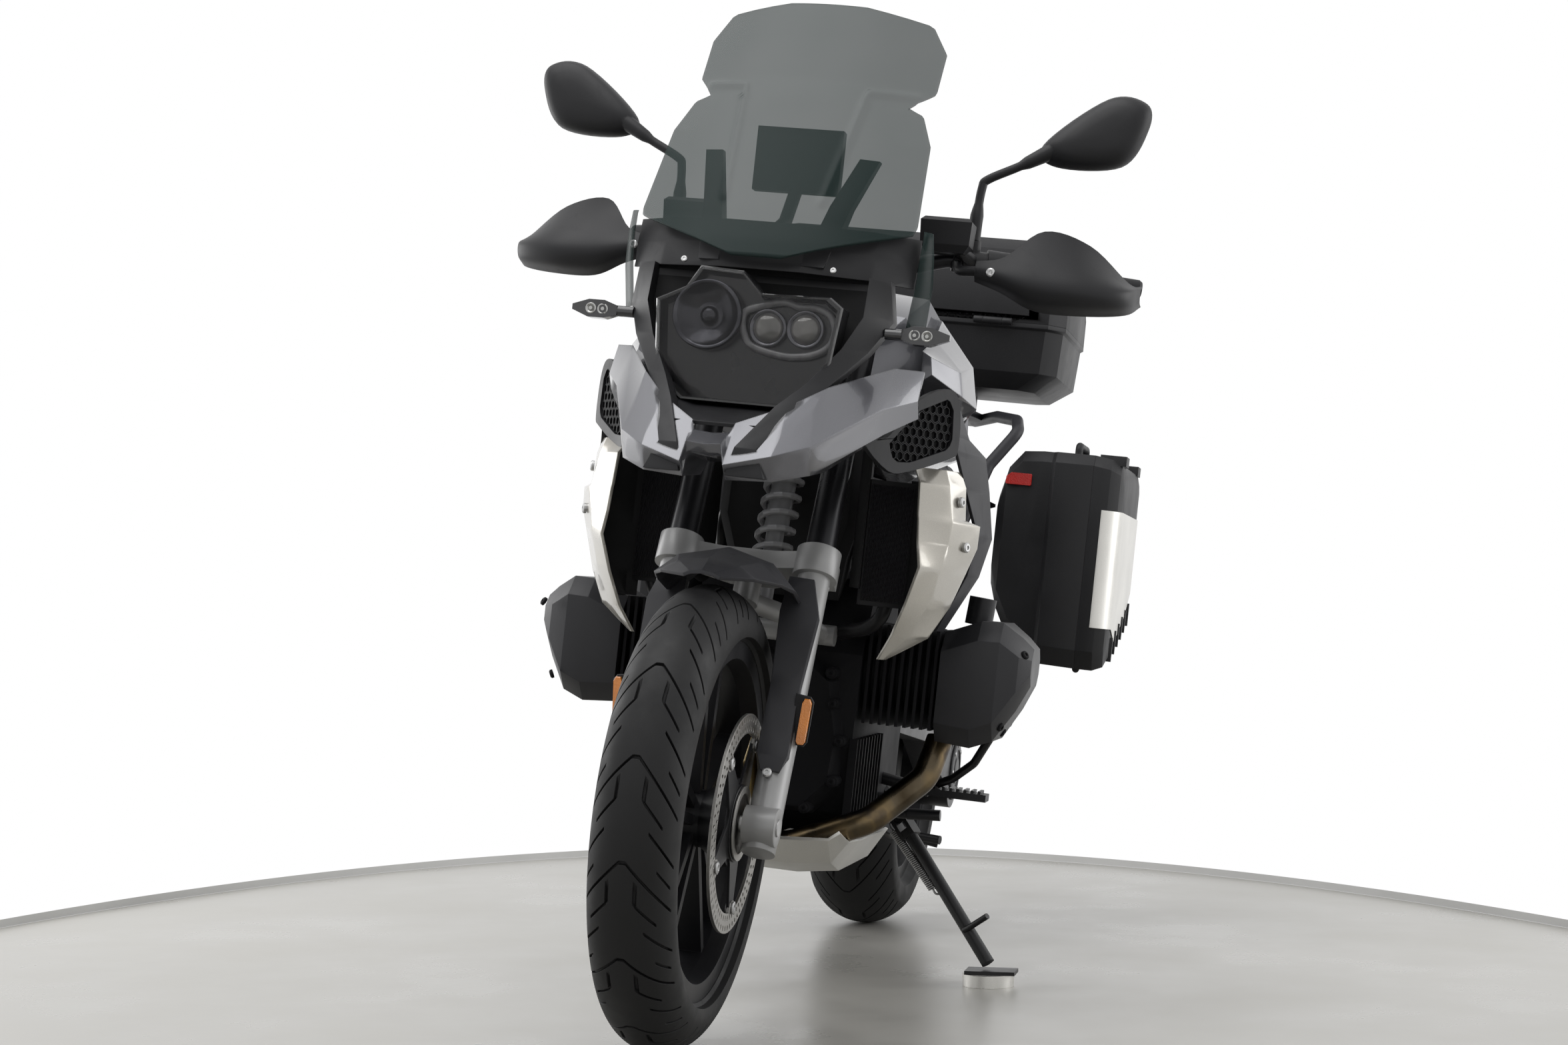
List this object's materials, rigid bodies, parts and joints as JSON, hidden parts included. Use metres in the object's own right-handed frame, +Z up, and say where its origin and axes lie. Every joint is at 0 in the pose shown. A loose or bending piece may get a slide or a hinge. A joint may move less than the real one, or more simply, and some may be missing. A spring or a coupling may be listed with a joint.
{
  "type": "adventure motorcycle with luggage cases",
  "caption": "Leaning adventure motorcycle on its side stand: flat-twin engine, tall screen, hand guards, hinged cases, turning wheels, steering and folding stands.",
  "frame": {"origin": "on the floor, under the middle of the parked motorcycle's bounding box", "axes": "+X to the machine's left, the side it leans to on its side stand; -Y to its front; +Z up"},
  "size_m": [1.0331, 2.168, 1.5454],
  "materials": {
    "tyre": "matt tread rubber",
    "black_cast": "satin black casting",
    "disc_steel": "ground steel",
    "black_anodised": "dark anodised",
    "grey_cast": "silver-grey paint",
    "steel": "satin",
    "black_plastic": "fine moulded grain",
    "dark_grey_plastic": "fine moulded grain",
    "gold_cast": "satin gold",
    "engine_black": "matt black coated casting",
    "cover_grey": "satin dark grey",
    "black_tube": "satin black powder coat",
    "grey_paint": "gloss light grey",
    "silver_paint": "satin silver",
    "seat_vinyl": "grained vinyl",
    "radiator_black": "black core",
    "tinted_screen": "smoke-tinted clear plastic",
    "lamp_glass": "dark lamp lens",
    "strut_grey": "grey powder coat",
    "header_steel": "heat-tinted",
    "aluminium": "satin",
    "case_black": "fine moulded grain"
  },
  "bodies": {
    "front_wheel": {"front_tyre": "tyre", "front_rim": "black_cast", "front_discs": "disc_steel"},
    "rear_wheel": {"rear_tyre": "tyre", "rear_rim": "black_cast", "rear_disc": "disc_steel"},
    "steering": {"fork_tubes": "black_anodised", "fork_sliders": "grey_cast", "front_axle": "steel", "top_yoke": "black_cast", "handlebar": "black_anodised", "hand_controls": "black_plastic", "hand_guards": "black_plastic", "mirrors": "black_plastic", "front_mudguard": "black_plastic", "front_calipers": "gold_cast"},
    "chassis": {"engine_block": "engine_black", "cylinders": "engine_black", "head_covers": "cover_grey", "frame": "black_tube", "fuel_tank": "grey_paint", "seat": "seat_vinyl", "radiators": "radiator_black", "radiator_panels": "silver_paint", "intake_grilles": "black_plastic", "side_panels": "dark_grey_plastic", "tank_covers": "grey_paint", "beak": "grey_paint", "headlamp": "lamp_glass", "windscreen": "tinted_screen", "nose_fairing": "black_plastic", "instruments": "black_plastic", "front_arm": "grey_cast", "front_strut": "strut_grey", "silencer": "steel", "exhaust": "header_steel", "skid_plate": "aluminium", "swing_arm": "black_cast", "rear_rack": "dark_grey_plastic", "tail": "black_plastic", "top_case": "case_black", "pannier_left": "case_black", "pannier_right": "case_black", "foot_controls": "black_cast", "indicators": "lamp_glass", "stand_brackets": "engine_black"},
    "top_case_lid": {"top_case_lid": "case_black"},
    "pannier_lid_left": {"pannier_lid_left": "case_black"},
    "pannier_lid_right": {"pannier_lid_right": "case_black"},
    "side_stand": {"stand_puck": "aluminium", "side_stand": "black_tube"},
    "centre_stand": {"centre_stand": "black_tube"},
    "fuel_cap": {"fuel_cap": "black_anodised"}
  },
  "joints": [
    {"name": "steering", "type": "hinge", "parent": "chassis", "child": "steering", "pos_m": [-0.08511, -0.71368, 0.30174], "axis": [0.0979, 0.4337, 0.8957], "range_deg": [-38, 38]},
    {"name": "front_wheel_spin", "type": "hinge", "parent": "steering", "child": "front_wheel", "pos_m": [-0.08274, -0.759, 0.32343], "axis": [0.9941, 0, -0.1087], "continuous": true},
    {"name": "rear_wheel_spin", "type": "hinge", "parent": "chassis", "child": "rear_wheel", "pos_m": [-0.08347, 0.766, 0.3167], "axis": [0.9941, 0, -0.1087], "continuous": true},
    {"name": "side_stand_fold", "type": "hinge", "parent": "chassis", "child": "side_stand", "pos_m": [0.07866, 0.0235, 0.27223], "axis": [0.7736, -0.2017, 0.6008], "range_deg": [0, 100]},
    {"name": "centre_stand_fold", "type": "hinge", "parent": "chassis", "child": "centre_stand", "pos_m": [-0.08962, 0.1935, 0.26045], "axis": [-0.9941, 0, 0.1087], "range_deg": [0, 80]},
    {"name": "top_case_lid_hinge", "type": "hinge", "parent": "chassis", "child": "top_case_lid", "pos_m": [0.01059, 0.5055, 1.17698], "axis": [0.9941, 0, -0.1087], "range_deg": [0, 80]},
    {"name": "pannier_lid_left_hinge", "type": "hinge", "parent": "chassis", "child": "pannier_lid_left", "pos_m": [0.33481, 0.43035, 0.49892], "axis": [0.0232, 0.977, 0.2119], "range_deg": [0, 60]},
    {"name": "pannier_lid_right_hinge", "type": "hinge", "parent": "chassis", "child": "pannier_lid_right", "pos_m": [-0.45249, 0.43035, 0.585], "axis": [-0.0232, -0.977, -0.2119], "range_deg": [0, 60]},
    {"name": "fuel_cap_hinge", "type": "hinge", "parent": "chassis", "child": "fuel_cap", "pos_m": [0.00907, -0.1325, 1.16307], "axis": [0.9941, 0, -0.1087], "range_deg": [0, 90]}
  ]
}
